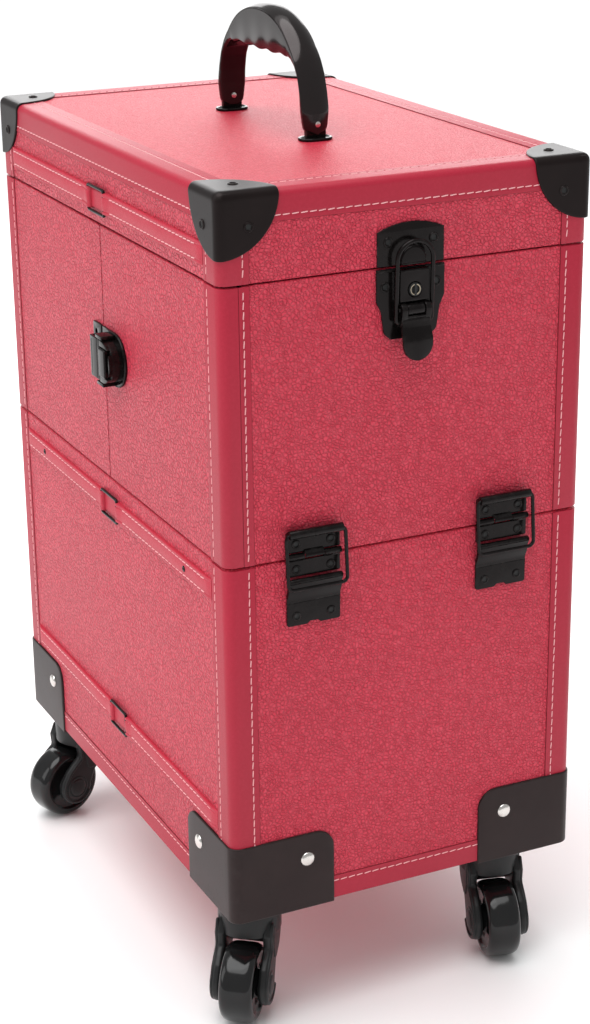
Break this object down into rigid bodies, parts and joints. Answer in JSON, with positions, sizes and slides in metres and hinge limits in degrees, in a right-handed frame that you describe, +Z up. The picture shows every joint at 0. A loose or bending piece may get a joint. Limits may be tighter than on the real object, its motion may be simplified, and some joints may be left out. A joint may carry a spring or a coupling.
{
  "type": "makeup storage case with handle",
  "caption": "Rolling make-up case in grained pink leather cloth: lift-off upper section with two doors and drawers, hinged lid with carry handle, latches and swivel casters.",
  "frame": {"origin": "centre of the footprint on the floor, under the casters", "axes": "+Z up; -Y out of the two doors at the front; +X to the right-hand narrow side as seen from the front"},
  "size_m": [0.384, 0.2588, 0.59],
  "materials": {
    "pink_leather": "pebble-grained coated leather cloth over board, satin",
    "pink_trim": "smooth coated leather cloth, satin",
    "black_metal": "black enamel, semi-gloss",
    "bronze_metal": "very dark brown-black lacquer, satin",
    "bright_metal": "bright nickel, slightly soft",
    "black_plastic": "black moulded plastic, glossy",
    "wheel_plastic": "black moulded wheel, glossy",
    "drawer_lining": "coated cloth over board",
    "rail_steel": "zinc-plated, satin",
    "mirror": "flat silvered glass"
  },
  "bodies": {
    "lower_section": {"lower_shell": "pink_leather", "locating_lip": "rail_steel", "lower_edge_trim": "pink_trim", "lower_straps": "pink_trim", "lower_strap_buckles": "black_metal", "bottom_brackets": "bronze_metal", "bracket_rivets": "bright_metal", "caster_sockets": "black_plastic", "draw_latch_plates": "black_metal"},
    "upper_section": {"upper_shell": "pink_leather", "upper_edge_trim": "pink_trim", "drawer_runners": "rail_steel", "draw_latch_keepers": "black_metal", "hinge_leaves_body": "black_metal", "key_latch_bases": "black_metal"},
    "lid": {"lid_shell": "pink_leather", "lid_edge_trim": "pink_trim", "lid_strap": "pink_trim", "lid_strap_buckle": "black_metal", "corner_protectors": "black_metal", "protector_rivets": "black_metal", "hinge_leaves_lid": "black_metal", "key_catches": "black_metal", "lid_mirror": "mirror", "handle_feet": "black_plastic"},
    "handle": {"handle_grip": "black_plastic"},
    "left_door": {"door_left": "pink_leather", "door_keeper": "black_metal"},
    "right_door": {"door_right": "pink_leather", "door_latch_base": "black_metal"},
    "door_hasp": {"door_latch_hasp": "black_metal"},
    "door_button": {"door_latch_button": "black_metal"},
    "caster_housing_1": {"caster_fork_1": "black_plastic"},
    "wheel_1": {"caster_wheel_1": "wheel_plastic"},
    "caster_housing_2": {"caster_fork_2": "black_plastic"},
    "wheel_2": {"caster_wheel_2": "wheel_plastic"},
    "caster_housing_3": {"caster_fork_3": "black_plastic"},
    "wheel_3": {"caster_wheel_3": "wheel_plastic"},
    "caster_housing_4": {"caster_fork_4": "black_plastic"},
    "wheel_4": {"caster_wheel_4": "wheel_plastic"},
    "latch_ring_1": {"draw_latch_ring_1": "black_metal"},
    "latch_ring_2": {"draw_latch_ring_2": "black_metal"},
    "latch_ring_3": {"draw_latch_ring_3": "black_metal"},
    "latch_ring_4": {"draw_latch_ring_4": "black_metal"},
    "latch_lever_right": {"key_latch_lever_right": "black_metal"},
    "latch_bail_right": {"key_latch_bail_right": "black_metal"},
    "key_plug_right": {"key_plug_right": "bright_metal"},
    "latch_lever_left": {"key_latch_lever_left": "black_metal"},
    "latch_bail_left": {"key_latch_bail_left": "black_metal"},
    "key_plug_left": {"key_plug_left": "bright_metal"},
    "drawer_box_1": {"drawer_1": "drawer_lining", "drawer_knob_1": "black_metal"},
    "drawer_box_2": {"drawer_2": "drawer_lining", "drawer_knob_2": "black_metal"},
    "drawer_box_3": {"drawer_3": "drawer_lining", "drawer_knob_3": "black_metal"},
    "drawer_box_4": {"drawer_4": "drawer_lining", "drawer_knob_4": "black_metal"}
  },
  "joints": [
    {"name": "caster_swivel_1", "type": "hinge", "parent": "lower_section", "child": "caster_housing_1", "pos_m": [0.148, -0.092, 0.055], "axis": [0, 0, 1], "continuous": true},
    {"name": "wheel_spin_1", "type": "hinge", "parent": "caster_housing_1", "child": "wheel_1", "pos_m": [0.16376, -0.10431, 0.0245], "axis": [0.6157, 0.788, 0], "continuous": true},
    {"name": "caster_swivel_2", "type": "hinge", "parent": "lower_section", "child": "caster_housing_2", "pos_m": [0.148, 0.078, 0.055], "axis": [0, 0, 1], "continuous": true},
    {"name": "wheel_spin_2", "type": "hinge", "parent": "caster_housing_2", "child": "wheel_2", "pos_m": [0.16732, 0.07282, 0.0245], "axis": [0.2588, 0.9659, 0], "continuous": true},
    {"name": "caster_swivel_3", "type": "hinge", "parent": "lower_section", "child": "caster_housing_3", "pos_m": [-0.148, -0.092, 0.055], "axis": [0, 0, 1], "continuous": true},
    {"name": "wheel_spin_3", "type": "hinge", "parent": "caster_housing_3", "child": "wheel_3", "pos_m": [-0.14182, -0.11102, 0.0245], "axis": [0.9511, 0.309, 0], "continuous": true},
    {"name": "caster_swivel_4", "type": "hinge", "parent": "lower_section", "child": "caster_housing_4", "pos_m": [-0.148, 0.078, 0.055], "axis": [0, 0, 1], "continuous": true},
    {"name": "wheel_spin_4", "type": "hinge", "parent": "caster_housing_4", "child": "wheel_4", "pos_m": [-0.148, 0.098, 0.0245], "axis": [-1, 0, 0], "continuous": true},
    {"name": "section_lift", "type": "slide", "parent": "lower_section", "child": "upper_section", "axis": [0, 0, 1], "range_m": [0, 0.2]},
    {"name": "latch_ring_hinge_1", "type": "hinge", "parent": "upper_section", "child": "latch_ring_1", "pos_m": [0.185, -0.062, 0.319], "axis": [0, -1, 0], "range_deg": [0, 155]},
    {"name": "latch_ring_hinge_2", "type": "hinge", "parent": "upper_section", "child": "latch_ring_2", "pos_m": [0.185, 0.062, 0.319], "axis": [0, -1, 0], "range_deg": [0, 155]},
    {"name": "latch_ring_hinge_3", "type": "hinge", "parent": "upper_section", "child": "latch_ring_3", "pos_m": [-0.185, -0.062, 0.319], "axis": [0, 1, 0], "range_deg": [0, 155]},
    {"name": "latch_ring_hinge_4", "type": "hinge", "parent": "upper_section", "child": "latch_ring_4", "pos_m": [-0.185, 0.062, 0.319], "axis": [0, 1, 0], "range_deg": [0, 155]},
    {"name": "lever_right", "type": "hinge", "parent": "upper_section", "child": "latch_lever_right", "pos_m": [0.1856, 0, 0.441], "axis": [0, -1, 0], "range_deg": [0, 120]},
    {"name": "bail_right", "type": "hinge", "parent": "latch_lever_right", "child": "latch_bail_right", "pos_m": [0.1851, 0, 0.434], "axis": [0, -1, 0], "range_deg": [-181, 1]},
    {"name": "key_turn_right", "type": "hinge", "parent": "upper_section", "child": "key_plug_right", "pos_m": [0.185, 0, 0.4523], "axis": [1, 0, 0], "range_deg": [0, 90]},
    {"name": "lever_left", "type": "hinge", "parent": "upper_section", "child": "latch_lever_left", "pos_m": [-0.1856, 0, 0.441], "axis": [0, 1, 0], "range_deg": [0, 120]},
    {"name": "bail_left", "type": "hinge", "parent": "latch_lever_left", "child": "latch_bail_left", "pos_m": [-0.1851, 0, 0.434], "axis": [0, 1, 0], "range_deg": [-181, 1]},
    {"name": "key_turn_left", "type": "hinge", "parent": "upper_section", "child": "key_plug_left", "pos_m": [-0.185, 0, 0.4523], "axis": [-1, 0, 0], "range_deg": [0, 90]},
    {"name": "door_right_hinge", "type": "hinge", "parent": "upper_section", "child": "right_door", "pos_m": [0.174, -0.11, 0.384], "axis": [0, 0, 1], "range_deg": [0, 165]},
    {"name": "door_left_hinge", "type": "hinge", "parent": "upper_section", "child": "left_door", "pos_m": [-0.174, -0.11, 0.384], "axis": [0, 0, -1], "range_deg": [0, 165]},
    {"name": "hasp_hinge", "type": "hinge", "parent": "right_door", "child": "door_hasp", "pos_m": [0.0144, -0.1238, 0.385], "axis": [0, 0, 1], "range_deg": [0, 100]},
    {"name": "button_slide", "type": "slide", "parent": "right_door", "child": "door_button", "axis": [1, 0, 0], "range_m": [0, 0.0035], "stiffness_N_per_m": 60},
    {"name": "drawer_slide_1", "type": "slide", "parent": "upper_section", "child": "drawer_box_1", "axis": [0, -1, 0], "range_m": [0, 0.102]},
    {"name": "drawer_slide_2", "type": "slide", "parent": "upper_section", "child": "drawer_box_2", "axis": [0, -1, 0], "range_m": [0, 0.102]},
    {"name": "drawer_slide_3", "type": "slide", "parent": "upper_section", "child": "drawer_box_3", "axis": [0, -1, 0], "range_m": [0, 0.102]},
    {"name": "drawer_slide_4", "type": "slide", "parent": "upper_section", "child": "drawer_box_4", "axis": [0, -1, 0], "range_m": [0, 0.102]},
    {"name": "lid_hinge", "type": "hinge", "parent": "upper_section", "child": "lid", "pos_m": [0, 0.1194, 0.465], "axis": [-1, 0, 0], "range_deg": [0, 100]},
    {"name": "handle_hinge", "type": "hinge", "parent": "lid", "child": "handle", "pos_m": [0, 0, 0.5252], "axis": [1, 0, 0], "range_deg": [-80, 80]}
  ],
  "couplings": [
    {"joint": "bail_right", "follows": "lever_right", "ratio": -1.5},
    {"joint": "bail_left", "follows": "lever_left", "ratio": -1.5},
    {"joint": "drawer_slide_1", "follows": "door_right_hinge", "m_per_rad": 0.035},
    {"joint": "drawer_slide_2", "follows": "door_right_hinge", "m_per_rad": 0.035},
    {"joint": "drawer_slide_3", "follows": "door_left_hinge", "m_per_rad": 0.035},
    {"joint": "drawer_slide_4", "follows": "door_left_hinge", "m_per_rad": 0.035}
  ]
}
